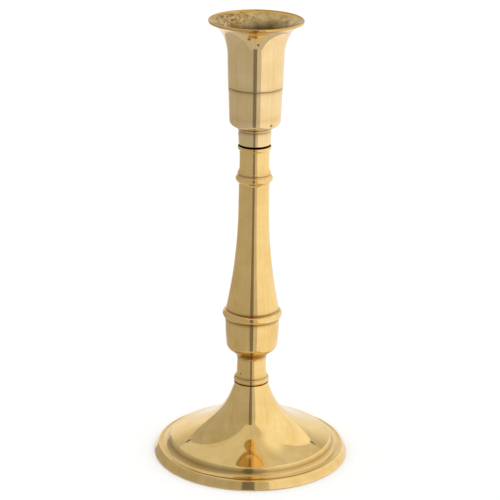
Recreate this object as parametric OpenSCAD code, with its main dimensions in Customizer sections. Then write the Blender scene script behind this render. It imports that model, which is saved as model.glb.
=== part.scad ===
// Brass candlestick: a cast hollow foot, a turned stem bolted to it, and a candle cup that
// screws onto a stud in the stem's top. Millimetres, +Z up, origin where the axis meets the table.
// Each turned piece is one outline in radius and height, revolved about the axis.

/* [Foot] */
// Diameter of the foot where it stands
foot_d = 92; // [76:0.2:112]
// Height of the foot, up to the seam under the stem
foot_h = 35.8; // [29:0.1:48]
// Width of the foot's flange, from its widest edge in to the raised disc
flange_w = 7.15; // [5:0.05:9]
// Height of the ridge round the flange's outer edge
ridge_h = 4.3; // [3.5:0.1:5.2]
// Height at which the raised disc's edge meets the flange
step_h = 6.1; // [5:0.1:7.5]
// Radius of the disc's rounded edge
disc_round = 2.2; // [1.4:0.05:2.8]
// Diameter of the foot's neck under the seam
foot_neck_d = 16.4; // [13.6:0.1:20]
// Height of the foot's straight neck before it sweeps out
foot_neck_h = 1.9; // [0.8:0.1:4]
// Wall thickness of the hollow casting
foot_wall = 2.6; // [1.8:0.1:3.2]
// Width of the flat ring that the foot stands on
rest_w = 3.6; // [2:0.1:6]

/* [Stem] */
// Height of the stem, from the seam at the foot to the top of its seat
stem_h = 116.2; // [96:0.1:150]
// Diameter of the bead at the bottom of the stem
collar_d = 16.8; // [14:0.1:22]
// Diameter of the stem's lower neck
neck_d = 13.9; // [11.5:0.1:17]
// Height from the foot seam to the top of the lower neck
neck_top = 11.8; // [9:0.1:16]
// Diameter of the bell, at its top
bell_d = 25.5; // [21:0.1:31]
// Height from the top of the lower neck to the middle of the ring
bell_h = 22.4; // [18.6:0.1:30]
// Diameter over the ring
ring_d = 28; // [23.3:0.1:36]
// Radius of the ring's rounded edge
ring_round = 1.9; // [1.4:0.1:2.4]
// Diameter of the column where it meets the ring
column_low_d = 25; // [20:0.1:30]
// Diameter of the column where it becomes straight
column_top_d = 14.3; // [11.9:0.1:17.2]
// Length of the column's straight part, under the knop
column_straight = 9.5; // [4:0.1:16]
// Diameter over the knop
knop_d = 17.3; // [14.4:0.1:22]
// Diameter of the small bead over the knop
bead_d = 15.5; // [12.9:0.1:18.6]
// Diameter of the stem above the knop
top_d = 13.9; // [11.6:0.1:16.7]
// Height from the middle of the knop to the top of the seat
knop_drop = 16; // [13:0.1:24]
// Diameter of the flange at the stem's top
top_flange_d = 15.6; // [13:0.1:20]
// Thickness of the flange at the stem's top
top_flange_t = 1.65; // [1.3:0.05:3]

/* [Candle cup] */
// Height of the candle cup, from its seat to its rim
cup_h = 57.6; // [48:0.1:70]
// Diameter of the rim
rim_d = 43.2; // [36:0.1:52]
// Diameter of the candle's socket
bore_d = 21.6; // [18:0.1:26]
// Thickness of the cup's wall at its rounded bottom
cup_wall = 1.05; // [0.8:0.05:3]
// How much further out the wall stands at the flare than at the bottom
cup_taper = 1.1; // [0:0.05:2]
// Diameter of the cup's collar at the seam
cup_collar_d = 14.7; // [12.2:0.1:17.6]
// Height from the seat to the underside of the cup
cup_under = 8.7; // [7.2:0.1:12]
// Radius of the cup's rounded bottom
cup_round = 2.75; // [1.5:0.05:3.3]
// Height from the seat to the turned line round the cup
cup_line_h = 27; // [22:0.1:34]
// Height of the flare, from where it leaves the wall to the rim
flare_h = 17; // [12:0.1:22]
// Thickness of the rim's lip
lip_t = 1.1; // [0.9:0.05:2]
// Width of the flat on top of the lip
lip_w = 1; // [0.7:0.05:2]
// Thickness of the metal under the candle
cup_floor = 5; // [4:0.1:8]

/* [Seams and seats] */
// Height of the open seam between the stem and the cup
cup_gap = 0.6; // [0.3:0.05:1.2]
// Width of the raised ring round the stud that the cup screws down on
seat_w = 1.25; // [0.8:0.05:1.8]
// Height of the open seam between the foot and the stem
foot_gap = 0.4; // [0.2:0.05:0.8]
// Thickness of the spigot's wall round the bolt
spigot_wall = 1.95; // [1.4:0.05:2.6]
// Length of the spigot under the stem
spigot_len = 4; // [3:0.1:6]

/* [Fasteners] */
// Major diameter of the cup's stud
stud_d = 8; // [6:0.1:9.6]
// Pitch of the cup's thread
stud_pitch = 1.25; // [1:0.25:1.5]
// Turns that free the stud from the stem
stud_turns = 8; // [5:1:9]
// Depth of the stud's upper end under the socket's floor
stud_recess = 3.5; // [2:0.1:6]
// Major diameter of the foot's bolt
bolt_d = 6; // [4:0.1:7.2]
// Length of the bolt under its head
bolt_len = 20; // [16:0.5:24]
// Width of the bolt's hexagon head across its flats
bolt_flats = 10; // [7:0.1:12]
// Height of the bolt's head
bolt_head_h = 4; // [3:0.1:5]
// Outer diameter of the flat washer
washer_d = 12; // [10:0.1:14.4]
// Outer diameter of the spring washer
spring_d = 10.6; // [8.8:0.1:12.8]
// Thickness of each washer
washer_t = 1.6; // [1:0.1:2]
// Width of the slit in the spring washer
spring_slit = 1; // [0.6:0.1:2]
// Thickness of the web inside the foot that the bolt pulls on
web_t = 5.2; // [4:0.1:7]
// Radial clearance of every thread, spigot and bolt hole
thread_clear = 0.05; // [0.03:0.01:0.1]
// Radial clearance of the washers and of the foot's hole round the bolt
bolt_clear = 0.25; // [0.15:0.05:0.5]

/* [Hidden] */
$fn = 96;

// heights of the seams and seats above the table
stem_z = foot_h + foot_gap;
seat_z = stem_z + stem_h;
rim_z = seat_z + cup_h;
spigot_z = stem_z - spigot_len;
web_z = spigot_z - web_t;

// the stud has just left the stem after its turns
stud_low = seat_z - stud_turns * stud_pitch + 0.2;
floor_z = seat_z + cup_under + cup_floor;
stud_high = floor_z - stud_recess;

// the flat washer hangs under the web, the spring washer under that, and then the bolt's head
spring_z = web_z - washer_t;
head_z = spring_z - washer_t;
bolt_top = head_z + bolt_len;

// radii that several outlines share
foot_r = foot_d / 2;
disc_r = foot_r - flange_w;
neck_r = neck_d / 2;
wall_r = bore_d / 2 + cup_wall;
spigot_r = bolt_d / 2 + thread_clear + spigot_wall;
stud_hole_r = stud_d / 2 + thread_clear;
bolt_hole_r = bolt_d / 2 + bolt_clear;
chamfer = 0.6;

// An arc in the outline's plane, from one angle to another in n steps
function arc(r, z, rad, a0, a1, n = 10) =
    [for (i = [0:n]) let (a = a0 + (a1 - a0) * i / n) [r + rad * cos(a), z + rad * sin(a)]];

// A quarter of an ellipse that leaves the vertical at [r, z], as far as angle a1
function sweep(r, z, wide, high, a1, n = 16) =
    [for (i = [0:n]) let (a = a1 * i / n) [r + wide * (1 - cos(a)), z + high * sin(a)]];

// A point of the cubic curve from p to s, whose handles end at q and r
function cubic(p, q, r, s, t) =
    pow(1 - t, 3) * p + 3 * pow(1 - t, 2) * t * q + 3 * (1 - t) * t * t * r + pow(t, 3) * s;

// The direction in which that curve runs at t, as a unit vector
function cubic_dir(p, q, r, s, t) =
    let (d = pow(1 - t, 2) * (q - p) + 2 * (1 - t) * t * (r - q) + t * t * (s - r)) d / norm(d);

// A list in reverse order
function reversed(list) = [for (i = [len(list) - 1:-1:0]) list[i]];

// The foot's sweep, from its neck down and out to the disc's rounded edge
edge_angle = 71.2;
neck_angle = 27.6;
fullness_low = 0.97;
fullness_high = 0.21;
disc_edge = [disc_r - disc_round, step_h];
sweep_top = [foot_neck_d / 2, foot_h - foot_neck_h];
sweep_end = disc_edge + disc_round * [cos(edge_angle), sin(edge_angle)];
sweep_span = sweep_end - sweep_top;
handle_top = sweep_top - sweep_span[1] * fullness_high * [sin(neck_angle), -cos(neck_angle)];
handle_end = sweep_end + sweep_span[0] * fullness_low * [-sin(edge_angle), cos(edge_angle)];
sweep_steps = 36;

function sweep_at(t) = cubic(sweep_top, handle_top, handle_end, sweep_end, t);
function sweep_dir(t) = cubic_dir(sweep_top, handle_top, handle_end, sweep_end, t);

// The hollow follows the sweep one wall inside it, below the web
function hollow_at(t) = let (d = sweep_dir(t)) sweep_at(t) + foot_wall * [d[1], -d[0]];
hollow = [for (i = [0:sweep_steps]) let (p = hollow_at(i / sweep_steps)) if (p[1] < web_z - 0.3) p];

module revolved(outline) {
    rotate_extrude() polygon(outline);
}

module upright(radius, low, high) {
    translate([0, 0, low]) cylinder(r = radius, h = high - low);
}

// Cast foot: flange, disc and trumpet in one hollow shell, with a web for the bolt
module foot() {
    ridge = [foot_r - 2.75, ridge_h - 1.3];
    outline = concat(
        [[foot_r - rest_w, 0], [foot_r - 0.5, 0], [foot_r - 0.1, 0.25], [foot_r, 0.7]],
        arc(ridge[0], ridge[1], 1.3, 22, 112),
        [for (t = [0.25, 0.5, 0.75])
            cubic([foot_r - 3.3, ridge_h - 0.1], [foot_r - 5, ridge_h - 0.1],
                [disc_r + 0.9, ridge_h + 0.5], [disc_r, step_h], t)],
        arc(disc_edge[0], disc_edge[1], disc_round, 0, edge_angle),
        reversed([for (i = [0:sweep_steps - 1]) sweep_at(i / sweep_steps)]),
        arc(foot_neck_d / 2 - 0.3, foot_h - 0.3, 0.3, 0, 90, 4),
        [[spigot_r + thread_clear, foot_h], [spigot_r + thread_clear, spigot_z]],
        [[bolt_hole_r, spigot_z], [bolt_hole_r, web_z], [hollow[0][0], web_z]],
        hollow,
        [[disc_r - foot_wall / 2, step_h - foot_wall], [foot_r - rest_w, ridge_h - foot_wall]]
    );
    color("darkgoldenrod") revolved(outline);
}

// Turned stem: bead, lower neck, bell, ring, column, knop and top flange, tapped at both ends
module stem() {
    collar_r = collar_d / 2;
    bell_low_r = bell_d / 2 - 0.65;
    bell_round = 4;
    neck_z = stem_z + neck_top;
    ring_z = neck_z + bell_h;
    bell_z = neck_z + 7.8;
    cove = 3.55;
    turn = 50;
    column_z = ring_z + 2.5;
    knop_z = seat_z - knop_drop;
    straight_z = knop_z - 3.1 - column_straight;
    bead_z = knop_z + 2.65;
    flange_z = seat_z - cup_gap - top_flange_t;
    flare_r = (column_low_d - column_top_d) / 2;
    flare_l = straight_z - column_z;
    flare_rad = (flare_l * flare_l + flare_r * flare_r) / (2 * flare_r);
    lower = concat(
        [[0, spigot_z], [spigot_r - 0.4, spigot_z], [spigot_r, spigot_z + 0.4]],
        [[spigot_r, stem_z], [collar_r - 0.4, stem_z]],
        arc(collar_r - 1.65, stem_z + 1.15, 1.65, -25, 62, 8),
        reversed(arc(neck_r + 1.1, stem_z + 4.2, 1.1, 180, 238, 5)),
        [[neck_r, stem_z + neck_top / 2], [neck_r - 0.08, neck_z - 0.8]],
        reversed(arc(neck_r + cove, neck_z, cove, 180 - turn, 180, 8)),
        arc(bell_low_r - bell_round, bell_z, bell_round, -turn, 0, 12),
        [[bell_d / 2 - 0.35, bell_z + 3.2], [bell_d / 2 - 0.15, bell_z + 6.6]],
        [[bell_d / 2, ring_z - 2.55], [bell_d / 2 - 0.35, ring_z - 2.15]],
        arc(ring_d / 2 - ring_round, ring_z, ring_round, -72, 72, 14),
        [[column_low_d / 2 - 0.3, ring_z + 2.1]]
    );
    column = [for (a = [0:1 / 24:1]) let (z = column_z + a * flare_l, up = straight_z - z)
        [column_top_d / 2 + flare_rad - sqrt(flare_rad * flare_rad - up * up), z]];
    upper = concat(
        [[column_top_d / 2, knop_z - 3.1], [column_top_d / 2 + 0.15, knop_z - 2.4]],
        arc(knop_d / 2 - 1.65, knop_z, 1.65, -60, 60, 10),
        arc(bead_d / 2 - 0.75, bead_z, 0.75, -55, 50, 6),
        [[top_d / 2 + 0.2, bead_z + 1.3], [top_d / 2, bead_z + 1.9]],
        reversed(arc(top_d / 2 + 0.7, flange_z - 0.6, 0.7, 120, 180, 5)),
        arc(top_flange_d / 2 - 0.6, flange_z + 0.6, 0.6, -70, 0, 5),
        arc(top_flange_d / 2 - 0.5, seat_z - cup_gap - 0.5, 0.5, 0, 90, 5),
        [[stud_hole_r + seat_w, seat_z - cup_gap], [stud_hole_r + seat_w, seat_z], [0, seat_z]]
    );
    color("goldenrod") difference() {
        revolved(concat(lower, column, upper));
        upright(stud_hole_r, stud_low - 0.6, seat_z + 1);
        upright(bolt_d / 2 + thread_clear, spigot_z - 1, bolt_top + 2.4);
    }
}

// Candle cup: tapped collar, rounded cup with a turned line, flared rim and the candle's socket
module candle_cup() {
    collar_r = cup_collar_d / 2;
    under_z = seat_z + cup_under;
    groove_z = under_z - 2;
    top_r = wall_r + cup_taper;
    line_z = seat_z + cup_line_h;
    flare_z = rim_z - flare_h;
    turn = 80;
    lip_round = 0.35;
    flare_out = (rim_d / 2 - lip_round - top_r) / (1 - cos(turn));
    mouth_turn = 65;
    mouth_z = flare_z + 1.5;
    mouth_r = rim_d / 2 - lip_w;
    mouth_out = (mouth_r - bore_d / 2) / (1 - cos(mouth_turn));
    line_r = wall_r + cup_taper * 0.6 - 0.12;
    outline = concat(
        [[stud_hole_r, seat_z], [collar_r - 0.3, seat_z], [collar_r, seat_z + 0.3]],
        [[collar_r + 0.35, groove_z - 1.5], [collar_r, groove_z - 0.3], [collar_r, groove_z]],
        arc(collar_r - 0.1, groove_z + 0.75, 0.7, -65, 50, 7),
        [[collar_r + 0.35, under_z - 0.3]],
        arc(wall_r - cup_round, under_z + cup_round, cup_round, -86, 0, 12),
        [[line_r, line_z - 0.6], [line_r - 0.25, line_z - 0.15], [line_r + 0.2, line_z + 0.35]],
        sweep(top_r, flare_z, flare_out, (flare_h - lip_t) / sin(turn), turn, 18),
        arc(rim_d / 2 - lip_round, rim_z - lip_t + lip_round, lip_round, -70, 0, 4),
        arc(rim_d / 2 - lip_round, rim_z - lip_round, lip_round, 0, 90, 4),
        arc(mouth_r + 0.2, rim_z - 0.2, 0.2, 90, 150, 3),
        reversed(sweep(bore_d / 2, mouth_z, mouth_out, (rim_z - 0.35 - mouth_z) / sin(mouth_turn),
            mouth_turn, 18)),
        [[bore_d / 2, floor_z], [stud_hole_r + 0.5, floor_z], [stud_hole_r, floor_z - 0.5]]
    );
    color("gold") revolved(outline);
}

// Headless stud, fast in the cup, that screws into the stem
module cup_stud() {
    stud_r = stud_d / 2;
    color("silver") revolved([
        [0, stud_low], [stud_r - chamfer, stud_low], [stud_r, stud_low + chamfer],
        [stud_r, stud_high - chamfer], [stud_r - chamfer, stud_high], [0, stud_high]
    ]);
}

// Hexagon bolt that pulls the stem down onto the foot
module foot_bolt() {
    bolt_r = bolt_d / 2;
    flats_r = bolt_flats / 2;
    color("lightsteelblue") {
        revolved([[0, head_z], [bolt_r, head_z], [bolt_r, bolt_top - chamfer],
            [bolt_r - chamfer, bolt_top], [0, bolt_top]]);
        intersection() {
            translate([0, 0, head_z - bolt_head_h])
                cylinder(r = flats_r / cos(30), h = bolt_head_h, $fn = 6);
            revolved([[0, head_z - bolt_head_h], [flats_r - 0.2, head_z - bolt_head_h],
                [flats_r / cos(30) + 0.1, head_z - bolt_head_h + 0.8],
                [flats_r / cos(30) + 0.1, head_z], [0, head_z]]);
        }
    }
}

// Split spring washer, flat under the bolt's head
module spring_washer() {
    hole_r = bolt_d / 2 + bolt_clear;
    color("slategray") difference() {
        upright(spring_d / 2, head_z, spring_z);
        upright(hole_r, head_z - 1, spring_z + 1);
        translate([hole_r - 1, 0, head_z + washer_t / 2]) rotate([25, 0, 0])
            translate([0, -spring_slit / 2, -washer_t * 2])
                cube([spring_d, spring_slit, washer_t * 4]);
    }
}

// Flat washer between the spring washer and the foot's web
module flat_washer() {
    color("lightgray") difference() {
        upright(washer_d / 2, spring_z, web_z);
        upright(bolt_d / 2 + bolt_clear, spring_z - 1, web_z + 1);
    }
}

foot();
stem();
candle_cup();
cup_stud();
foot_bolt();
spring_washer();
flat_washer();
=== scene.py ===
"""A brass candlestick: cast foot, turned stem and screwed-on candle cup, dressed around its CAD frame.

Every turned piece is lathed again from the outline of its CAD node, with rounded edges, true screw
threads and small casting flaws. All lengths are in metres unless a name says mm.
"""

import logging
import math
import random
from dataclasses import dataclass, field
from enum import Enum, auto
from functools import lru_cache
from typing import Any, Callable

import bpy
import numpy as np
from bpy.types import Material, Node, NodeSocket, NodeTree, Object
from mathutils import Matrix, Vector


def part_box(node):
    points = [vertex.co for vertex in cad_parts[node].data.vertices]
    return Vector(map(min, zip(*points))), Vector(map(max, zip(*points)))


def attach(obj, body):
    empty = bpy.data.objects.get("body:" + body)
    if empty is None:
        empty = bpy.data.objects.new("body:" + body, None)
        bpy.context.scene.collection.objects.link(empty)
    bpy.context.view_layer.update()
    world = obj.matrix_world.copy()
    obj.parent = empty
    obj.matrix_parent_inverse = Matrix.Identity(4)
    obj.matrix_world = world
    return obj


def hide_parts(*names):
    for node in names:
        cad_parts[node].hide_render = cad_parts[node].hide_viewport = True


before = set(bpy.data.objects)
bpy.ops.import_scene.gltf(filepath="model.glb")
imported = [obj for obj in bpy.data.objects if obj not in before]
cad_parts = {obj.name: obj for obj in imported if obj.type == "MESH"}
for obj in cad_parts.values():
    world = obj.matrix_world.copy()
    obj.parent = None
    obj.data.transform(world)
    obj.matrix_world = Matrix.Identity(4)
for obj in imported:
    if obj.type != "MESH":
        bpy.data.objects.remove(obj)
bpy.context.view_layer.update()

LOG = logging.getLogger("candlestick")
MM = 0.001
TINY = 1e-12

Point = np.ndarray
Points = np.ndarray


# ---- Outlines: the CAD node's section in radius and height, made smooth ----

CORNER_SHARE = 0.3            # most of a short stretch that a rounded corner takes
TURN_STEP = math.radians(7)   # greatest turn between two rings of a smooth stretch
RINGS_PER_PITCH = 10
SUPPORT = 0.18 * MM           # from a rounded corner to the ring that holds its shape
CREASE = math.radians(38)     # an edge that turns further stays sharp to the eye

Band = tuple[float, float, float]


@dataclass(frozen=True)
class Tap:
    """A screw thread cut along a straight wall of an outline.

    The wall's radius is the thread's major radius on a screw, and the major radius with its
    clearance in a tapped hole, so that the two run at the same distance all along the flanks.
    Crest and flanks are shares of the pitch, and a vertex within nearby of the radius is on the wall.
    """

    radius: float
    pitch: float
    depth: float
    low: float
    high: float
    mouths: tuple[float, ...] = ()
    crest: float = 0.125
    flanks: float = 0.7
    nearby: float = 0.75 * MM

    def cut(self, radius: np.ndarray, height: np.ndarray, turn: np.ndarray) -> np.ndarray:
        """Radius of the threaded wall.

        Args:
            radius: radius of the plain wall at each vertex.
            height: height of each vertex.
            turn: angle of each vertex about the axis, in radians.

        Returns:
            The radius with the thread cut in it.
        """
        phase = (height / self.pitch - turn / (2 * math.pi)) % 1.0
        groove = np.clip((1 - np.abs(2 * phase - 1) - self.crest) / self.flanks, 0, 1)
        for mouth in self.mouths:
            groove = groove * np.clip(np.abs(height - mouth) / self.pitch, 0, 1)
        threaded = np.minimum(radius, self.radius - self.depth * groove)
        wall = (np.abs(radius - self.radius) < self.nearby) & (height > self.low) & (height < self.high)
        return np.where(wall, threaded, radius)


@dataclass
class Outline:
    """One piece's section: a loop, or a line that starts and ends on the axis."""

    points: Points
    closed: bool

    @classmethod
    def of_node(cls, node: str) -> "Outline":
        """Reads the section of a revolved CAD node from its mesh.

        Args:
            node: the CAD node's name.

        Returns:
            The outline, running outwards at the bottom and inwards at the top.
        """
        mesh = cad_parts[node].data
        corners = np.array([v.co for v in mesh.vertices], float)
        flat = np.column_stack([np.hypot(corners[:, 0], corners[:, 1]), corners[:, 2]])
        snap = 4e-6
        cells: dict[tuple[int, int], int] = {}
        label = np.empty(len(flat), int)
        sums: list[np.ndarray] = []
        for i, (r, z) in enumerate(flat):
            cell = (int(r / snap), int(z / snap))
            near = [(cell[0] + a, cell[1] + b) for a in (0, -1, 1) for b in (0, -1, 1)]
            known = next((cells[c] for c in near if c in cells), None)
            if known is None:
                known = cells[cell] = len(sums)
                sums.append(np.zeros(3))
            label[i] = known
            sums[known] += (r, z, 1)
        mean = np.array([s[:2] / s[2] for s in sums])
        beside: dict[int, set[int]] = {i: set() for i in range(len(mean))}
        for edge in mesh.edges:
            a, b = label[edge.vertices[0]], label[edge.vertices[1]]
            if a != b:
                beside[a].add(b)
                beside[b].add(a)
        ends = [i for i, others in beside.items() if len(others) == 1]
        walk = [ends[0] if ends else 0]
        while True:
            onward = [j for j in sorted(beside[walk[-1]]) if j not in walk]
            if not onward:
                break
            walk.append(onward[0])
        line = mean[walk]
        if ends:
            line = np.vstack([[0, line[0][1]], line, [0, line[-1][1]]])
        nxt = np.roll(line, -1, axis=0)
        if np.sum(line[:, 0] * nxt[:, 1] - nxt[:, 0] * line[:, 1]) < 0:
            line = line[::-1]
        return cls(line, not ends)

    def turn_at(self, i: int) -> float:
        """How far the outline turns at a point.

        Args:
            i: the point's number.

        Returns:
            The turn in radians, positive where the metal is convex.
        """
        n = len(self.points)
        a = self.points[i] - self.points[(i - 1) % n]
        b = self.points[(i + 1) % n] - self.points[i]
        return math.atan2(a[0] * b[1] - a[1] * b[0], float(a @ b))

    def smoothed(self, edge: float, crisp: float, reach: float, step: float,
                 taps: tuple[Tap, ...] = (), dense: tuple[Band, ...] = ()
                 ) -> tuple[Points, np.ndarray]:
        """Rounds the corners and lays a smooth curve through everything between them.

        Args:
            edge: width taken off each real corner.
            crisp: turn in degrees above which a point is a real corner.
            reach: how far the painted shade of an inner corner spreads.
            step: greatest distance between two rings.
            taps: threads, whose walls need closer rings.
            dense: bands of closer rings, each with its lowest and highest height and their distance.

        Returns:
            The new points and how deep in an inner corner each of them lies, from 0 to 1.
        """
        n = len(self.points)
        span = range(n) if self.closed else range(1, n - 1)
        turns = {i: self.turn_at(i) for i in span}
        hard = {i for i, t in turns.items() if abs(t) > math.radians(crisp)}
        last = n if self.closed else n - 1
        out: list[np.ndarray] = [] if self.closed else [self.points[0]]
        for i in range(last):
            p0, p1, p2, p3 = (self.points[(i + k) % n] for k in (-1, 0, 1, 2))
            one = i in hard or (not self.closed and i == 0)
            two = (i + 1) % n in hard or (not self.closed and i == last - 1)
            p0 = 2 * p1 - p2 if one else p0
            p3 = 2 * p2 - p1 if two else p3
            length = float(np.linalg.norm(p2 - p1))
            back = min(edge, CORNER_SHARE * length)
            low, high = (back / length if one else 0.0), (1 - back / length if two else 1.0)
            stops = self._stops(p1, p2, low, high, step, taps, dense, abs(turns.get(i, 0)))
            for t in stops[:-1]:
                out.append(_through(p0, p1, p2, p3, t))
            if not two:
                continue
            start = _through(p0, p1, p2, p3, high)
            if (i + 1) % n not in hard:
                out.append(start)
                continue
            onward = self.points[(i + 2) % n] - p2
            far = float(np.linalg.norm(onward))
            end = p2 + onward * min(edge, CORNER_SHARE * far) / max(far, TINY)
            for t in (0.0, 0.3, 0.7):
                out.append((1 - t) ** 2 * start + 2 * t * (1 - t) * p2 + t * t * end)
        if not self.closed:
            out[-1] = self.points[-1]
        line = np.array(out)
        same_place = 2e-6
        keep = np.linalg.norm(line - np.roll(line, 1, axis=0), axis=1) > same_place
        keep[0] = True
        line = line[keep]
        line[:, 1] = np.clip(line[:, 1], self.points[:, 1].min(), self.points[:, 1].max())
        inner = [self.points[i] for i in hard if turns[i] < 0]
        depth = np.zeros(len(line))
        for corner in inner:
            depth = np.maximum(depth, np.exp(-np.linalg.norm(line - corner, axis=1) / reach))
        return line, depth

    @staticmethod
    def _stops(p1: Point, p2: Point, low: float, high: float, step: float, taps: tuple[Tap, ...],
               dense: tuple[Band, ...], turn: float) -> list[float]:
        """Where rings go along one stretch.

        Args:
            p1: the stretch's start.
            p2: its end.
            low: where its start's rounded corner ends, as a share of the length.
            high: where its end's rounded corner starts.
            step: greatest distance between rings.
            taps: the piece's threads.
            dense: the bands of close rings.
            turn: how far the outline turns at the start.

        Returns:
            Shares of the length, from low to high.
        """
        gap = step
        length = float(np.linalg.norm(p2 - p1))
        middle = (p1 + p2) / 2
        for tap in taps:
            on_wall = max(abs(p1[0] - tap.radius), abs(p2[0] - tap.radius)) < 0.02 * MM
            if on_wall and tap.low - MM < middle[1] < tap.high + MM:
                gap = min(gap, tap.pitch / RINGS_PER_PITCH)
        for low_z, high_z, close in dense:
            if max(p1[1], p2[1]) > low_z and min(p1[1], p2[1]) < high_z:
                gap = min(gap, close)
        count = max(1, math.ceil((high - low) * length / gap), math.ceil(turn / TURN_STEP))
        stops = [low + (high - low) * k / count for k in range(count + 1)]
        support, close_set = SUPPORT / length, 40
        if count < close_set and support < 0.2 * (high - low):
            stops += [low + support] * (low > 0) + [high - support] * (high < 1)
        return sorted(stops)


def _through(p0: Point, p1: Point, p2: Point, p3: Point, t: float) -> Point:
    """Point on the smooth curve from p1 to p2.

    Args:
        p0: the point before the stretch.
        p1: its start.
        p2: its end.
        p3: the point after it.
        t: where on the stretch, from 0 to 1.

    Returns:
        The point, in radius and height.
    """
    spans = ((p0, p1), (p1, p2), (p2, p3))
    a, b, c = (math.sqrt(max(float(np.linalg.norm(q - p)), TINY)) for p, q in spans)
    m1 = (p2 - p1) + b * ((p1 - p0) / a - (p2 - p0) / (a + b))
    m2 = (p2 - p1) + b * ((p3 - p2) / c - (p3 - p1) / (b + c))
    s = 1 - t
    return s * s * (1 + 2 * t) * p1 + t * s * s * m1 + t * t * (3 - 2 * t) * p2 - t * t * s * m2


# ---- Meshes ----

@dataclass(frozen=True)
class Flaw:
    """A pit or dent in a surface: its middle, its radius, how deep it goes and the dirt in it."""

    middle: tuple[float, float, float]
    radius: float
    depth: float
    dirt_and_shade: float = 0.85


@dataclass
class Lathe:
    """Turns an outline into a mesh, with threads and flaws."""

    segments: int
    taps: tuple[Tap, ...] = ()
    flaws: tuple[Flaw, ...] = ()
    shape: Callable[[np.ndarray, np.ndarray, np.ndarray], np.ndarray] | None = None

    def piece(self, name: str, line: Points, grime_and_shade: np.ndarray, closed: bool,
              slot_at: Callable[[Point, Point], int]) -> Object:
        """Builds the piece's mesh.

        Args:
            name: the new object's name.
            line: the outline's points, outwards at the bottom.
            grime_and_shade: the share of painted shade at each point.
            closed: whether the outline is a loop.
            slot_at: gives the material slot for a place on the outline and its normal.

        Returns:
            The new object.
        """
        rings = line if closed else line[1:-1]
        marks = grime_and_shade if closed else grime_and_shade[1:-1]
        turn = np.arange(self.segments) * 2 * math.pi / self.segments
        radius = np.repeat(rings[:, :1], self.segments, axis=1)
        height = np.repeat(rings[:, 1:], self.segments, axis=1)
        around = np.repeat(turn[None, :], len(rings), axis=0)
        for tap in self.taps:
            radius = tap.cut(radius, height, around)
        if self.shape:
            radius = self.shape(radius, height, around)
        grid = np.stack([radius * np.cos(around), radius * np.sin(around), height], axis=2)
        grid, stain = self._flawed(grid)
        verts = [tuple(v) for v in grid.reshape(-1, 3)]
        faces, slots = [], []
        count = len(rings)
        for i in range(count if closed else count - 1):
            j = (i + 1) % count
            along = rings[j] - rings[i]
            normal = np.array([along[1], -along[0]]) / max(float(np.linalg.norm(along)), TINY)
            slot = slot_at((rings[i] + rings[j]) / 2, normal)
            for k in range(self.segments):
                m = (k + 1) % self.segments
                faces.append((i * self.segments + k, i * self.segments + m,
                              j * self.segments + m, j * self.segments + k))
                slots.append(slot)
        # Each vertex keeps its painted shade, or its pinhole's grime where that is more.
        shade = list(np.maximum(np.repeat(marks, self.segments), stain.reshape(-1)))
        if not closed:
            for end, ring, order in ((line[0], 0, -1), (line[-1], count - 1, 1)):
                tip = len(verts)
                verts.append((0.0, 0.0, float(end[1])))
                shade.append(0.0)
                slot = slot_at(end, np.array([0.0, float(order)]))
                for k in range(self.segments):
                    a, b = ring * self.segments + k, ring * self.segments + (k + 1) % self.segments
                    faces.append((a, b, tip) if order > 0 else (b, a, tip))
                    slots.append(slot)
        return make_object(name, verts, faces, slots, shade)

    def _flawed(self, grid: np.ndarray) -> tuple[np.ndarray, np.ndarray]:
        """Presses the flaws into the surface, along its own normal.

        Args:
            grid: the vertices, ring by ring.

        Returns:
            The vertices with the flaws, and how much dirt each holds.
        """
        stain = np.zeros(grid.shape[:2])
        if not self.flaws:
            return grid, stain
        along = np.roll(grid, -1, axis=0) - np.roll(grid, 1, axis=0)
        across = np.roll(grid, -1, axis=1) - np.roll(grid, 1, axis=1)
        normal = np.cross(across, along)
        normal /= np.maximum(np.linalg.norm(normal, axis=2, keepdims=True), TINY)
        push = np.zeros(grid.shape[:2])
        steepness = 2.2
        for flaw in self.flaws:
            away = np.linalg.norm(grid - np.array(flaw.middle), axis=2) / flaw.radius
            bowl = np.exp(-steepness * away ** 3)
            push = np.maximum(push, flaw.depth * bowl)
            stain = np.maximum(stain, flaw.dirt_and_shade * bowl)
        return grid - normal * push[:, :, None], stain


def link_object(name: str, data: Any) -> Object:
    """Puts a mesh or a camera in the scene.

    Args:
        name: the new object's name.
        data: its mesh or camera.

    Returns:
        The object.
    """
    made = bpy.data.objects.new(name, data)
    bpy.context.scene.collection.objects.link(made)
    return made


def make_object(name: str, verts: list, faces: list, slots: list[int], grime_and_shade: list[float]) -> Object:
    """Makes a smooth-shaded mesh object.

    Args:
        name: its name.
        verts: its vertices.
        faces: its faces.
        slots: the material slot of each face.
        grime_and_shade: the share of painted shade, and of grime in the pinholes, at each vertex.

    Returns:
        The object.
    """
    mesh = bpy.data.meshes.new(name)
    mesh.from_pydata(verts, [], faces)
    mesh.polygons.foreach_set("material_index", slots)
    mesh.polygons.foreach_set("use_smooth", [True] * len(faces))
    # Painted shade in corners, along darker bands and deep in the mouth, with the pinholes' grime.
    mark = mesh.attributes.new("shade_and_pit_grime", "FLOAT", "POINT")
    mark.data.foreach_set("value", grime_and_shade)
    mesh.validate()
    mesh.set_sharp_from_angle(angle=CREASE)
    mesh.update()
    return link_object(name, mesh)


def make_plane(name: str, wide: float, high: float, level: float = 0.0) -> Object:
    """Makes a flat rectangle about the origin.

    Args:
        name: its name.
        wide: its size along X.
        high: its size along Y.
        level: its height.

    Returns:
        The object.
    """
    mesh = bpy.data.meshes.new(name)
    signs = ((-1, -1), (1, -1), (1, 1), (-1, 1))
    mesh.from_pydata([(x * wide / 2, y * high / 2, level) for x, y in signs], [], [(0, 1, 2, 3)])
    return link_object(name, mesh)


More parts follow.
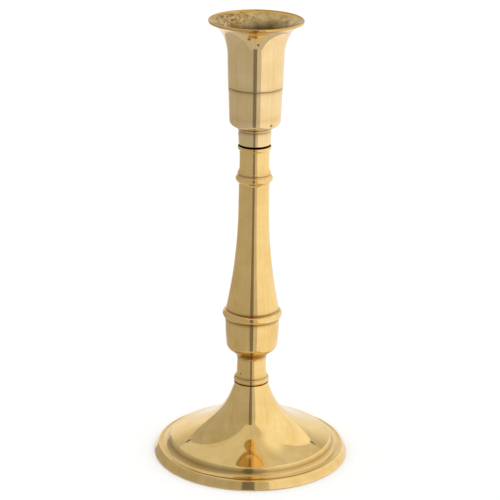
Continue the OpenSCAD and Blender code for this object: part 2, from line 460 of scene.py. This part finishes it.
@lru_cache(maxsize=None)
def box(node: str) -> tuple[Vector, Vector]:
    """Lowest and highest corners of a CAD node, read once."""
    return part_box(node)


def radius_near(node: str, low: float, high: float) -> float:
    """Greatest radius of a CAD node between two heights."""
    corners = (v.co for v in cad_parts[node].data.vertices)
    return max(math.hypot(c.x, c.y) for c in corners if low <= c.z <= high)


# ---- Finishes ----

def linear(hex_colour: str) -> tuple[float, ...]:
    """Turns an sRGB hex colour into linear light with full alpha."""
    parts = [int(hex_colour[i:i + 2], 16) / 255 for i in (1, 3, 5)]
    return (*(c / 12.92 if c <= 0.04045 else ((c + 0.055) / 1.055) ** 2.4 for c in parts), 1.0)


def add_node(tree: NodeTree, kind: str, inputs: dict[Any, Any] | None = None,
             **settings: Any) -> Node:
    """Adds one node.

    Args:
        tree: the tree that it goes in.
        kind: the node's type, without the ShaderNode that each starts with.
        inputs: for each input, by name or number, its value or the output that feeds it.
        settings: the node's own properties.

    Returns:
        The node.
    """
    node = tree.nodes.new(f"ShaderNode{kind}")
    for name, value in settings.items():
        setattr(node, name, value)
    for name, value in (inputs or {}).items():
        if isinstance(value, NodeSocket):
            tree.links.new(value, node.inputs[name])
        else:
            node.inputs[name].default_value = value
    return node


def empty_material(name: str) -> Material:
    """Makes a material with nothing in its node tree yet.

    Args:
        name: the material's name.

    Returns:
        The material.
    """
    made = bpy.data.materials.new(name)
    made.use_nodes = True
    made.node_tree.nodes.clear()
    return made


class Grain(Enum):
    """How a metal surface was worked, which sets the run of its fine marks."""

    TURNED = "rings cut on the lathe and buffed over"
    BUFFED = "cast, turned and buffed on a wheel"
    CAST = "as it came out of the sand"
    PLATED = "drawn wire or bar with a thin plating"


@dataclass(frozen=True)
class Metal:
    """A metal finish. Its colours are what it gives back at right angles, so the IOR stays as it is.

    The mottle runs from colour to shade. The darkest colour is painted shade in inner corners, along
    darker bands and deep in the mouth, and real grime in the pinholes. Real tool marks are about
    0.1 mm apart, too fine to show, so mark_mm is several times as coarse.
    """

    name: str
    colour: str
    shade: str
    grime_and_shade: str
    roughness: float
    grain: Grain
    mark_mm: float = 0.7
    mark_depth_mm: float = 0.0014
    mottle_mm: float = 11.0
    pit_mm: float = 0.0
    pit_spacing_mm: float = 7.0
    pits_left_out: float = 0.55

    def material(self) -> Material:
        """Builds the node material.

        Returns:
            The material, named for the metal and how it was worked.
        """
        made = empty_material(self.name)
        tree = made.node_tree
        place = add_node(tree, "TexCoord").outputs["Object"]
        mottle = add_node(tree, "TexNoise", {"Vector": place, "Scale": 1 / (self.mottle_mm * MM),
                                             "Detail": 4, "Roughness": 0.62}).outputs[0]
        cloud = add_node(tree, "MapRange", {"Value": mottle, "From Min": 0.38, "From Max": 0.68}).outputs[0]
        marks = self._marks(tree, place)
        # Painted shade, with the pinholes' grime, read from the mesh.
        shade_and_pit_grime = add_node(tree, "Attribute", attribute_name="shade_and_pit_grime").outputs["Fac"]
        bump = add_node(tree, "Bump", {"Distance": self.mark_depth_mm * MM,
                                       "Height": marks}).outputs["Normal"]
        layers = [(cloud, self.shade), (shade_and_pit_grime, self.grime_and_shade)]
        if self.pit_mm > 0:
            pits = self._pits(tree, place)
            layers.append((pits, self.grime_and_shade))
            bump = add_node(tree, "Bump", {"Distance": 0.12 * self.pit_mm * MM, "Height": pits,
                                           "Normal": bump}, invert=True).outputs["Normal"]
        # Inputs 6 and 7 of a Mix node are its two colours, and output 2 is its colour.
        colour = linear(self.colour)
        for share, over in layers:
            colour = add_node(tree, "Mix", {0: share, 6: colour, 7: linear(over)},
                              data_type="RGBA").outputs[2]
        rough = 0.85 * self.roughness
        uneven = ((cloud, 0.35 * self.roughness), (shade_and_pit_grime, 0.25), (marks, 0.3 * self.roughness))
        for pattern, most in uneven:
            rough = add_node(tree, "Math", {0: pattern, 1: most, 2: rough},
                             operation="MULTIPLY_ADD").outputs[0]
        shader = add_node(tree, "BsdfPrincipled", {"Metallic": 1.0, "Base Color": colour,
                                                   "Roughness": rough, "Normal": bump})
        add_node(tree, "OutputMaterial", {"Surface": shader.outputs[0]})
        return made

    def _marks(self, tree: NodeTree, place: Any) -> Any:
        """The fine marks of the way that the surface was worked.

        Args:
            tree: the material's tree.
            place: the socket that gives the place on the piece.

        Returns:
            A socket from 0 to 1.
        """
        scale = 1 / (self.mark_mm * MM)
        if self.grain in (Grain.CAST, Grain.PLATED):
            return add_node(tree, "TexNoise", {"Vector": place, "Scale": scale, "Detail": 5,
                                               "Roughness": 0.6}).outputs[0]
        flat = add_node(tree, "VectorMath", {0: place, 1: (1, 1, 0)}, operation="MULTIPLY").outputs[0]
        out = add_node(tree, "VectorMath", {0: flat}, operation="LENGTH").outputs["Value"]
        split = add_node(tree, "SeparateXYZ", {0: place})
        drift = add_node(tree, "Math", {0: split.outputs[0], 1: 0.02}, operation="MULTIPLY").outputs[0]
        rings = add_node(tree, "CombineXYZ", {0: out, 1: drift, 2: split.outputs[2]}).outputs[0]
        turned = add_node(tree, "TexNoise", {"Vector": rings, "Scale": scale, "Detail": 3,
                                             "Roughness": 0.7}).outputs[0]
        if self.grain is Grain.TURNED:
            return turned
        wheel = add_node(tree, "TexNoise", {"Vector": place, "Scale": scale / 3, "Detail": 4,
                                            "Roughness": 0.6}).outputs[0]
        half = add_node(tree, "Math", {0: turned, 1: 0.5}, operation="MULTIPLY").outputs[0]
        return add_node(tree, "Math", {0: wheel, 1: 0.5, 2: half}, operation="MULTIPLY_ADD").outputs[0]

    def _pits(self, tree: NodeTree, place: Any) -> Any:
        """Scattered pinholes left by the casting.

        Args:
            tree: the material's tree.
            place: the socket that gives the place on the piece.

        Returns:
            A socket that is 1 in a pinhole and 0 elsewhere.
        """
        cells = add_node(tree, "TexVoronoi", {"Scale": 1 / (self.pit_spacing_mm * MM), "Vector": place})
        edge = 0.5 * self.pit_mm / self.pit_spacing_mm
        hole = add_node(tree, "MapRange", {"Value": cells.outputs["Distance"], "From Min": edge,
                                           "From Max": 0.4 * edge}).outputs[0]
        tone = add_node(tree, "SeparateColor", {0: cells.outputs["Color"]}).outputs[0]
        kept = add_node(tree, "Math", {0: tone, 1: self.pits_left_out}, operation="GREATER_THAN").outputs[0]
        return add_node(tree, "Math", {0: hole, 1: kept}, operation="MULTIPLY").outputs[0]


# Cartridge-type brass, turned and buffed: a warm mirror with faint rings. The cup is the palest piece.
CUP_BRASS = Metal("buffed_cup_brass", "#F7D9A2", "#F1CE92", "#5E3E14", 0.055, Grain.TURNED, pit_mm=0.3)
STEM_BRASS = Metal("turned_stem_brass", "#F6D28B", "#ECC379", "#5A3C14", 0.055, Grain.TURNED, pit_mm=0.4)
# The same brass cast and buffed on a wheel: softer marks, a deeper yellow and more pinholes.
FOOT_BRASS = Metal("buffed_foot_brass", "#F7D690", "#EEC77C", "#7A4C0E", 0.05, Grain.BUFFED, pit_mm=0.4)
# The lip is rubbed every time a candle is changed: the deepest gold on the cup.
LIP_BRASS = Metal("rubbed_lip_brass", "#E6BC6C", "#D9AB58", "#5E3E14", 0.1, Grain.TURNED)
# Turned but hardly buffed inside the mouth: duller and paler, with torn casting skin.
MOUTH_BRASS = Metal("pitted_mouth_brass", "#E6C88F", "#B48E4E", "#2C1B08", 0.12, Grain.TURNED,
                    mark_mm=0.9, mark_depth_mm=0.002, mottle_mm=4.0, pit_mm=0.5)
# Down in the socket the cutter's marks stay, and its dark brown is painted shade.
SOCKET_BRASS = Metal("shaded_socket_brass", "#8C6731", "#62461D", "#241706", 0.36, Grain.TURNED,
                     mark_mm=0.8, mark_depth_mm=0.004, mottle_mm=5.0)
# The hollow under the foot is raw sand casting: dull, grainy and brown.
CAST_BRASS = Metal("sand_cast_brass", "#B8914F", "#8A6833", "#3A280F", 0.5, Grain.CAST,
                   mark_mm=0.9, mark_depth_mm=0.05, mottle_mm=8.0, pit_mm=0.9)
# Painted shade for the seams' shadowed gaps: next to black.
SEAM_SHADE = Metal("shaded_seam_brass", "#1C130A", "#0E0905", "#060402", 0.75, Grain.CAST,
                     mark_mm=0.5, mark_depth_mm=0.02, mottle_mm=2.0)
# Bright zinc on steel: cool and silky.
ZINC_STEEL = Metal("zinc_plated_steel", "#C4C7CB", "#A4A9B0", "#4C4A46", 0.28, Grain.PLATED,
                   mark_mm=0.4, mark_depth_mm=0.0015, mottle_mm=2.5)
# Hardened and blackened spring steel: dark, with an oily gloss.
SPRING_STEEL = Metal("blackened_spring_steel", "#55575B", "#34363A", "#1A1714", 0.34, Grain.PLATED,
                     mark_mm=0.5, mark_depth_mm=0.002, mottle_mm=2.0)


# ---- Pieces ----

class Zone(Enum):
    """A part of a piece's surface that has a finish of its own."""

    MAIN = auto()
    CAST = auto()
    SEAM = auto()
    MOUTH = auto()
    SOCKET = auto()
    LIP = auto()


@dataclass
class Piece:
    """What every piece of the candlestick has: its node, its body and its finishes.

    Holes are pinholes, each with its azimuth in degrees, height and radius in millimetres. The darker
    bands are painted shade, each with its lowest and highest height in millimetres and its amount.
    """

    node: str
    body: str
    slot: str
    finishes: dict[Zone, Metal]
    segments: int = 256
    edge: float = 0.12 * MM
    crisp: float = 33.0
    # reach and the next field set how far and how dark the painted shade in inner corners goes.
    reach: float = 0.35 * MM
    corner_shade: float = 0.4
    step: float = 1.2 * MM
    holes: tuple[tuple[float, float, float], ...] = ()
    shade_bands: tuple[Band, ...] = ()

    def dress(self, made: Object) -> Object:
        """Gives the piece its materials and its place in the frame.

        Args:
            made: the piece's object.

        Returns:
            The same object.
        """
        for finish in self.finishes.values():
            known = bpy.data.materials.get(finish.name)
            made.data.materials.append(known or finish.material())
        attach(made, self.body)
        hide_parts(self.node)
        LOG.info("%s: %d faces, on body %s", made.name, len(made.data.polygons), self.body)
        return made

    def zone(self, place: Point, normal: Point) -> Zone:
        """The part of the surface that a place on the outline is in."""
        return Zone.MAIN

    def slot_at(self, place: Point, normal: Point) -> int:
        """The material slot of a place on the outline."""
        return list(self.finishes).index(self.zone(place, normal))

    def taps(self) -> tuple[Tap, ...]:
        """The piece's threads."""
        return ()

    def flaws(self) -> tuple[Flaw, ...]:
        """Finds where the piece's pinholes lie on its outside.

        Returns:
            The pinholes.
        """
        line = Outline.of_node(self.node).points
        made = []
        for azimuth, high, wide in self.holes:
            turn, z = math.radians(azimuth), high * MM
            cuts = [a[0] + (b[0] - a[0]) * (z - a[1]) / (b[1] - a[1])
                    for a, b in zip(line, np.roll(line, -1, axis=0)) if (a[1] - z) * (b[1] - z) < 0]
            middle = (max(cuts) * math.cos(turn), max(cuts) * math.sin(turn), z)
            made.append(Flaw(middle, wide * MM, 0.3 * wide * MM, 0.95))
        return tuple(made)

    def dense(self) -> tuple[Band, ...]:
        """The bands where the flaws need close rings."""
        return tuple(((high - 1) * MM, (high + 1) * MM, 0.25 * MM) for _, high, _ in self.holes)

    def build(self) -> Object:
        """Lathes the piece from its CAD node's outline.

        Returns:
            The finished object.
        """
        outline = Outline.of_node(self.node)
        line, depth = outline.smoothed(self.edge, self.crisp, self.reach, self.step,
                                       self.taps(), self.dense())
        lathe = Lathe(self.segments, self.taps(), self.flaws())
        grime_and_shade = self.grime_and_shade(line, depth)
        return self.dress(lathe.piece(f"{self.node}_piece", line, grime_and_shade, outline.closed, self.slot_at))

    def grime_and_shade(self, line: Points, depth: np.ndarray) -> np.ndarray:
        """Painted shade in the inner corners and along the darker bands.

        Args:
            line: the outline's points.
            depth: how deep in an inner corner each point lies.

        Returns:
            The share of painted shade at each point.
        """
        dirt_and_shade = self.corner_shade * depth
        for low, high, amount in self.shade_bands:
            share = np.clip((line[:, 1] / MM - low) / (high - low), 0, 1)
            dirt_and_shade = np.maximum(dirt_and_shade, amount * np.sin(math.pi * share))
        return dirt_and_shade


class Thread(Enum):
    """A thread's pitch and depth: M8 on the cup's stud and M6 on the foot's bolt."""

    STUD = (1.25 * MM, 0.62 * MM)
    BOLT = (1.0 * MM, 0.55 * MM)

    def on(self, radius: float, low: float, high: float, mouths: tuple[float, ...] = ()) -> Tap:
        """The thread along one wall."""
        return Tap(radius, *self.value, low, high, mouths)


CLEARANCE = 0.05 * MM         # between a screw's thread and its hole's


@dataclass
class Foot(Piece):
    """The cast foot: flange, raised disc and trumpet, hollow underneath."""

    hair: float = 0.05 * MM

    def zone(self, place: Point, normal: Point) -> Zone:
        """Painted shade where the stem sits, and cast where it faces the axis or the table.

        Args:
            place: the place, in radius and height.
            normal: the surface's direction there.

        Returns:
            The part of the surface. The ring that the foot stands on is polished.
        """
        if normal[1] > 0.7 and place[1] > box(self.node)[1].z - self.hair:
            return Zone.SEAM
        return Zone.CAST if max(normal) < 0.02 and place[1] > self.hair else Zone.MAIN


@dataclass
class Stem(Piece):
    """The turned stem, tapped at both ends."""

    seam: float = 0.65 * MM
    seam_radius: float = 6 * MM
    bead_z: float = 36.3 * MM

    def zone(self, place: Point, normal: Point) -> Zone:
        """Painted shade inside the two seams, polished elsewhere.

        Args:
            place: the place, in radius and height.
            normal: the surface's direction there.

        Returns:
            The part of the surface.
        """
        high = place[1] > box(self.node)[1].z - self.seam
        top = high and (normal[1] > 0.9 or place[0] < self.seam_radius)
        return Zone.SEAM if top or (place[1] < self.bead_z and normal[1] < 0.1) else Zone.MAIN

    def taps(self) -> tuple[Tap, ...]:
        """Cuts both threads.

        Returns:
            The thread for the cup's stud at the top and for the foot's bolt at the bottom.
        """
        low, high = box(self.node)
        stud, bolt = box("cup_stud"), box("foot_bolt")
        shank = radius_near("foot_bolt", bolt[1].z - 2 * MM, bolt[1].z)
        return (
            Thread.STUD.on(stud[1].x + CLEARANCE, stud[0].z - MM, high.z, (high.z,)),
            Thread.BOLT.on(shank + CLEARANCE, low.z, bolt[1].z + 3 * MM, (low.z,)),
        )


@dataclass
class CandleCup(Piece):
    """The candle cup: tapped collar, socket, flared mouth and rim."""

    seed: int = 11
    pits: int = 110
    pit_azimuth: float = 142
    pit_spread: float = 20
    pit_reach: float = 3.4 * MM
    pit_sizes: tuple[float, float] = (0.35, 0.7)
    flare: float = 17 * MM
    mouth: float = 9 * MM
    lip: float = 1.1 * MM
    # Painted shade inside the mouth: none at the first height below the rim, its most at the second.
    mouth_shade: Band = (2.5, 7.0, 0.78)

    def zone(self, place: Point, normal: Point) -> Zone:
        """Polished outside and on the lip, dull in the flared mouth, dark with painted shade in the socket.

        Args:
            place: the place, in radius and height.
            normal: the surface's direction there.

        Returns:
            The part of the surface.
        """
        low, high = (corner.z for corner in box(self.node))
        # Painted shade on the face that sits on the stem.
        if place[1] < low + 0.05 * MM:
            return Zone.SEAM
        if place[1] > high - self.lip:
            return Zone.LIP
        if normal[0] > -0.15:
            return Zone.MAIN
        return Zone.MOUTH if place[1] > high - self.mouth else Zone.SOCKET

    def grime_and_shade(self, line: Points, depth: np.ndarray) -> np.ndarray:
        """No painted shade within 2 mm of the rim; inside, the mouth has painted shade that darkens as it
        goes down.

        Args:
            line: the outline's points.
            depth: how deep in an inner corner each point lies.

        Returns:
            The share of painted shade at each point.
        """
        below = (box(self.node)[1].z - line[:, 1]) / MM
        inside = np.arange(len(line)) > int(np.argmin(below))
        start, full, most = self.mouth_shade
        deep_shade = most * np.clip((below - start) / (full - start), 0, 1) * inside
        return np.maximum(super().grime_and_shade(line, depth) * (below > 2), deep_shade)

    def dense(self) -> tuple[Band, ...]:
        """Close rings in the mouth and round the pinholes."""
        high = box(self.node)[1].z
        return ((high - self.flare, high, 0.3 * MM), *super().dense())

    def taps(self) -> tuple[Tap, ...]:
        """The thread that holds the stud."""
        low, stud = box(self.node)[0].z, box("cup_stud")[1]
        return (Thread.STUD.on(stud.x + CLEARANCE, low, stud.z + 3 * MM, (low,)),)

    def flaws(self) -> tuple[Flaw, ...]:
        """Torn casting skin on one side of the mouth, and three pinholes outside.

        Returns:
            The flaws, in the order that they were drawn.
        """
        draw = random.Random(self.seed)
        high, socket, deep, rim = box(self.node)[1], 11 * MM, 13 * MM, 0.9 * MM
        section = Outline.of_node(self.node).points
        mouth = section[(section[:, 0] > socket) & (section[:, 1] > high.z - deep)]
        mouth = mouth[np.argsort(mouth[:, 1])]
        inside = np.array([p for p in mouth if p[0] < high.x - rim and self._faces_in(p, section)])
        made = []
        for _ in range(self.pits):
            height = high.z - abs(draw.gauss(0, 1)) * self.pit_reach - 0.5 * MM
            angle = math.radians(draw.gauss(self.pit_azimuth, self.pit_spread))
            radius = float(np.interp(height, inside[:, 1], inside[:, 0]))
            wide = draw.uniform(*self.pit_sizes) * MM
            middle = (radius * math.cos(angle), radius * math.sin(angle), height)
            made.append(Flaw(middle, wide, 0.15 * wide))
        return (*made, *super().flaws())

    def _faces_in(self, place: Point, section: Points) -> bool:
        """Whether this outline point is on the mouth's inner side."""
        same = section[np.abs(section[:, 1] - place[1]) < 1.2 * MM]
        return place[0] < (same[:, 0].min() + same[:, 0].max()) / 2


@dataclass
class Stud(Piece):
    """The headless stud that holds the cup."""

    def taps(self) -> tuple[Tap, ...]:
        """One thread from end to end."""
        low, high = box(self.node)
        return (Thread.STUD.on(high.x, low.z - MM, high.z + MM),)


@dataclass
class Bolt(Piece):
    """The hexagon bolt: chamfered head, plain neck and M6 thread."""

    chamfer: float = 0.8 * MM
    plain: float = 2.5 * MM

    def build(self) -> Object:
        """Builds the bolt from its head up.

        Returns:
            The finished object.
        """
        low, high = box(self.node)
        washer = box("spring_washer")[0].z
        shank = radius_near(self.node, high.z - MM, high.z)
        corner, flats, tip = high.x + 0.05 * MM, high.y, 0.6 * MM
        outline = Outline(np.array([
            (0, low.z), (flats - 0.2 * MM, low.z), (corner, low.z + self.chamfer),
            (corner, washer), (shank, washer), (shank, washer + self.plain),
            (shank, high.z - tip), (shank - tip, high.z), (0, high.z),
        ]), False)
        tap = Thread.BOLT.on(shank, washer + self.plain, high.z + MM, (washer + self.plain,))
        line, depth = outline.smoothed(0.08 * MM, self.crisp, self.reach, 0.25 * MM, (tap,))

        def hexagon(radius: np.ndarray, height: np.ndarray, turn: np.ndarray) -> np.ndarray:
            """Cuts the head's six flats."""
            limit = flats / np.cos(np.abs((turn % (math.pi / 3)) - math.pi / 6))
            return np.where(height <= washer + 1e-6, np.minimum(radius, limit), radius)

        lathe = Lathe(self.segments, (tap,), (), hexagon)
        # Painted shade in the inner corners.
        grime_and_shade = self.corner_shade * depth
        return self.dress(lathe.piece(f"{self.node}_piece", line, grime_and_shade, False, self.slot_at))


@dataclass
class SpringWasher(Piece):
    """The split spring washer: a square wire bent once round, cut on the slant."""

    slit: float = 1.0 * MM
    slant: float = 25.0
    steps: int = 120

    def build(self) -> Object:
        """Sweeps the wire's section round the bolt and caps its ends.

        Returns:
            The finished object.
        """
        low, high = box(self.node)
        inner = min(math.hypot(v.co.x, v.co.y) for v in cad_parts[self.node].data.vertices)
        ease = 0.12 * MM
        section = []
        corners = ((inner, low.z), (high.x, low.z), (high.x, high.z), (inner, high.z))
        for k, (r, z) in enumerate(corners):
            sr, sz = (1, -1)[k in (1, 2)], (1, -1)[k in (2, 3)]
            first, last = (r, z + sz * ease), (r + sr * ease, z)
            near = (r + sr * 0.3 * ease, z + sz * 0.3 * ease)
            section += [first, near, last] if k in (0, 2) else [last, near, first]
        section = np.array(section)
        middle = (low.z + high.z) / 2
        verts, faces = [], []
        for i in range(self.steps + 1):
            share = i / self.steps
            for r, z in section:
                lean = math.tan(math.radians(self.slant)) * (z - middle) / r
                half = 0.5 * self.slit / r
                start, end = half - lean, 2 * math.pi - half - lean
                turn = start + (end - start) * share
                verts.append((r * math.cos(turn), r * math.sin(turn), z))
        n = len(section)
        for i in range(self.steps):
            for k in range(n):
                m = (k + 1) % n
                faces.append((i * n + k, (i + 1) * n + k, (i + 1) * n + m, i * n + m)[::-1])
        faces.append(tuple(range(n))[::-1])
        faces.append(tuple(self.steps * n + k for k in range(n)))
        made = make_object(f"{self.node}_piece", verts, faces, [0] * len(faces), [0.0] * len(verts))
        return self.dress(made)


# Pinholes in the polished outside of the cup: two in the flare and one by the rounded bottom.
PINHOLES = ((-86.5, 201.7, 0.7), (-101, 204.4, 0.8), (-51, 163.4, 0.85))


@dataclass
class Candlestick:
    """The whole candlestick, piece by piece from the table up."""

    pieces: tuple[Piece, ...] = field(default_factory=lambda: (
        # The foot's darker bands are painted shade: a faint one on its side for the shadowed floor that it
        # mirrors, and one in the crease between disc and flange.
        Foot("foot", "stand", "polished_brass",
             {Zone.MAIN: FOOT_BRASS, Zone.CAST: CAST_BRASS, Zone.SEAM: SEAM_SHADE}, segments=288,
             edge=0.35 * MM, reach=0.8 * MM, corner_shade=0.65, shade_bands=((0.2, 4.6, 0.12), (4.4, 8.0, 0.5))),
        # The stem's darker bands are painted shade under its lower bell flare and in two narrower bands
        # higher up.
        Stem("stem", "stand", "turned_brass", {Zone.MAIN: STEM_BRASS, Zone.SEAM: SEAM_SHADE},
             segments=140, reach=0.5 * MM, corner_shade=0.6, holes=((-138, 41.0, 0.6),),
             shade_bands=((47.6, 54, 0.6), (72, 73.8, 0.55), (66.9, 69, 0.3))),
        Bolt("foot_bolt", "stand", "zinc_steel", {Zone.MAIN: ZINC_STEEL}, segments=96),
        SpringWasher("spring_washer", "stand", "spring_steel", {Zone.MAIN: SPRING_STEEL}),
        Piece("flat_washer", "stand", "zinc_steel", {Zone.MAIN: ZINC_STEEL}, segments=128),
        Stud("cup_stud", "stud", "zinc_steel", {Zone.MAIN: ZINC_STEEL}, segments=96),
        CandleCup("candle_cup", "cup", "cup_brass",
                  {Zone.MAIN: CUP_BRASS, Zone.MOUTH: MOUTH_BRASS, Zone.SOCKET: SOCKET_BRASS,
                   Zone.SEAM: SEAM_SHADE, Zone.LIP: LIP_BRASS},
                  reach=0.6 * MM, corner_shade=0.7, holes=PINHOLES),
    ))

    def build(self) -> list[Object]:
        """Builds every piece."""
        return [piece.build() for piece in self.pieces]


# ---- Studio ----

class Glow(Enum):
    """How a panel's light is spread over it."""

    EVEN = "the same all over but for the cloth's soft upright folds"
    SPOT = "bright in the middle, gone at the edge"
    LOW = "bright along the level of the table, weaker above and below"


@dataclass(frozen=True)
class Panel:
    """A white studio panel that the metal mirrors.

    On a SPOT or LOW panel the light is full out to core, a share of the panel's size, and has
    fallen to least, a share of itself, at the edge.
    """

    name: str
    middle: tuple[float, float, float]
    size: tuple[float, float]
    facing: tuple[float, float, float]
    light: float
    glow: Glow = Glow.EVEN
    core: float = 0.0
    least: float = 0.0

    def build(self) -> Object:
        """Makes the panel.

        Returns:
            The panel, which shows only where metal mirrors it.
        """
        made = make_plane(self.name, *self.size)
        turn = Vector(self.facing).to_track_quat("Z", "Y").to_matrix().to_4x4()
        made.matrix_world = Matrix.Translation(self.middle) @ turn
        made.data.materials.append(self.paint())
        made.visible_camera = made.visible_diffuse = made.visible_shadow = False
        made.visible_transmission = made.visible_volume_scatter = False
        return made

    def paint(self) -> Material:
        """Makes the panel's glowing cloth.

        Returns:
            The material.
        """
        cloth = empty_material(f"{self.name}_cloth")
        tree = cloth.node_tree
        place = add_node(tree, "TexCoord").outputs["Object"]
        spread = self._folds(tree, place) if self.glow is Glow.EVEN else self._falling(tree, place)
        if self.glow is Glow.SPOT:
            light = add_node(tree, "Emission", {"Strength": self.light})
            share = add_node(tree, "Math", {0: spread, 1: self.light}, operation="DIVIDE")
            clear = add_node(tree, "BsdfTransparent")
            light = add_node(tree, "MixShader", {0: share.outputs[0], 1: clear.outputs[0],
                                                 2: light.outputs[0]})
        else:
            light = add_node(tree, "Emission", {"Strength": spread})
        add_node(tree, "OutputMaterial", {"Surface": light.outputs[0]})
        return cloth

    def _folds(self, tree: NodeTree, place: Any) -> Any:
        """Light that wavers a little across the cloth, as its folds hang.

        Args:
            tree: the material's tree.
            place: the socket that gives the place on the panel.

        Returns:
            The socket of the light's strength.
        """
        stretch, folds_per_metre = (1, 0.03, 0), 15
        dim, bright = 0.87 * self.light, 1.08 * self.light
        across = add_node(tree, "VectorMath", {0: place, 1: stretch}, operation="MULTIPLY").outputs[0]
        hang = add_node(tree, "TexNoise", {"Vector": across, "Scale": folds_per_metre,
                                           "Detail": 4, "Roughness": 0.65}).outputs[0]
        return add_node(tree, "MapRange", {"Value": hang, "From Min": 0.3, "From Max": 0.7,
                                           "To Min": dim, "To Max": bright}).outputs[0]

    def _falling(self, tree: NodeTree, place: Any) -> Any:
        """Light that falls off smoothly from the panel's middle, or from its level line.

        Args:
            tree: the material's tree.
            place: the socket that gives the place on the panel.

        Returns:
            The socket of the light's strength.
        """
        shares = (1 / self.size[0] if self.glow is Glow.SPOT else 0, 1 / self.size[1], 0)
        spread = add_node(tree, "VectorMath", {0: place, 1: shares}, operation="MULTIPLY").outputs[0]
        away = add_node(tree, "VectorMath", {0: spread}, operation="LENGTH").outputs["Value"]
        return add_node(tree, "MapRange", {"Value": away, "From Min": self.core, "From Max": 0.5,
                                           "To Min": self.light, "To Max": self.least * self.light},
                        interpolation_type="SMOOTHSTEP").outputs[0]


@dataclass
class Studio:
    """A small light tent with a dark slit in front, a pale floor and the camera."""

    half_width: float = 0.30
    back: float = 0.50
    front: float = -0.60
    top: float = 0.39
    front_top: float = 1.4
    left_light: float = 0.51
    right_light: float = 1.05
    back_light: float = 0.95
    top_light: float = 0.72
    under_light: float = 0.62
    lamp_light: float = 1.0
    corner_light: float = 0.12
    slit_light: float = 0.22
    fold_light: float = 0.66
    room_light: float = 1.12
    slit_left: float = -0.10
    slit_right: float = 0.06
    fold_right: float = 0.25
    lamp_place: tuple[float, float, float] = (0.185, 0.04, 0.384)
    lamp_size: tuple[float, float] = (0.28, 0.30)
    corner_inset: float = 8 * MM
    corner_size: float = 0.02
    floor_size: float = 60.0
    floor_drop: float = 0.05 * MM
    camera_place: tuple[float, float, float] = (0.0, -0.86693, 0.40202)
    pitch: float = 19.138
    yaw: float = -0.095
    roll: float = 0.787
    lens_mm: float = 142.46

    def panels(self) -> list[Panel]:
        """Plans the tent.

        Returns:
            The tent's top and walls, which go as far below the floor as above it, as a glossy table
            shows them, the lamp under its top, and the dark joints in its two far corners.
        """
        w, b, f, t, rise = self.half_width, self.back, self.front, self.top, self.front_top
        deep, mid = b - f, (b + f) / 2
        slope = math.hypot(deep, rise - t)
        nook, patch = self.corner_inset, (self.corner_size, self.corner_size)
        walls = (("left", -1, self.left_light), ("right", 1, self.right_light))
        fronts = (("front_left", -w, self.slit_left, self.left_light),
                  ("front_slit", self.slit_left, self.slit_right, self.slit_light),
                  ("front_fold", self.slit_right, self.fold_right, self.fold_light),
                  ("front_right", self.fold_right, w, self.right_light))
        return [
            *(Panel(f"{name}_wall", (side * w, mid, 0), (deep, 2 * rise), (-side, 0, 0), light)
              for name, side, light in walls),
            Panel("back_wall", (0, b, 0), (2 * w, 2 * t), (0, -1, 0), self.back_light, Glow.LOW,
                  core=0.14, least=0.6),
            Panel("tent_top", (0, mid, (t + rise) / 2), (2 * w, slope), (0, t - rise, -deep),
                  self.top_light),
            Panel("table_mirror", (0, mid, -t), (2 * w, deep), (0, 0, 1), self.under_light),
            Panel("lamp", self.lamp_place, self.lamp_size, (0, 0, -1), self.lamp_light, Glow.SPOT,
                  core=0.2),
            *(Panel(f"{name}_corner", (side * (w - nook), b - nook, t - nook), patch, (-side, -1, -1),
                    self.corner_light) for name, side, _ in walls),
            *(Panel(name, ((left + right) / 2, f, 0), (right - left, 2 * rise), (0, 1, 0), light)
              for name, left, right, light in fronts),
        ]

    def floor(self) -> Object:
        """Makes the pale floor.

        Returns:
            The floor, which the metal doesn't mirror.
        """
        paper = empty_material("white_paper")
        sheet = add_node(paper.node_tree, "BsdfDiffuse", {"Color": linear("#FAFAF9")})
        add_node(paper.node_tree, "OutputMaterial", {"Surface": sheet.outputs[0]})
        made = make_plane("floor", self.floor_size, self.floor_size, -self.floor_drop)
        made.data.materials.append(paper)
        made.visible_glossy = False
        return made

    def light(self) -> None:
        """Fills the room with even white light."""
        world = bpy.data.worlds.new("room")
        world.use_nodes = True
        world.node_tree.nodes.clear()
        glow = add_node(world.node_tree, "Background",
                        {"Color": linear("#FFFFFF"), "Strength": self.room_light})
        add_node(world.node_tree, "OutputWorld", {"Surface": glow.outputs[0]})
        bpy.context.scene.world = world
        bpy.context.scene.view_settings.view_transform = "Standard"

    def camera(self) -> Object:
        """Sets up the camera.

        Returns:
            The camera, which is the scene's.
        """
        lens = bpy.data.cameras.new("camera")
        lens.lens = self.lens_mm
        lens.sensor_width = 36.0
        lens.clip_start, lens.clip_end = 0.01, 100.0
        made = link_object("camera", lens)
        pitch, yaw, roll = (math.radians(a) for a in (self.pitch, self.yaw, self.roll))
        level = math.cos(pitch)
        ahead = Vector((math.sin(yaw) * level, math.cos(yaw) * level, -math.sin(pitch)))
        side = Vector((math.cos(yaw), -math.sin(yaw), 0))
        above = side.cross(ahead)
        right = math.cos(roll) * side + math.sin(roll) * above
        up = -math.sin(roll) * side + math.cos(roll) * above
        turn = Matrix((right, up, -ahead)).transposed().to_4x4()
        made.matrix_world = Matrix.Translation(self.camera_place) @ turn
        bpy.context.scene.camera = made
        return made

    def build(self) -> None:
        """Builds the camera, the light, the floor and the tent."""
        self.camera()
        self.light()
        self.floor()
        built = [panel.build() for panel in self.panels()]
        LOG.info("studio: %d panels", len(built))


def main() -> None:
    """Builds the studio and the candlestick."""
    logging.basicConfig(level=logging.INFO, format="%(name)s: %(message)s")
    Studio().build()
    Candlestick().build()


if __name__ == "__main__":
    main()
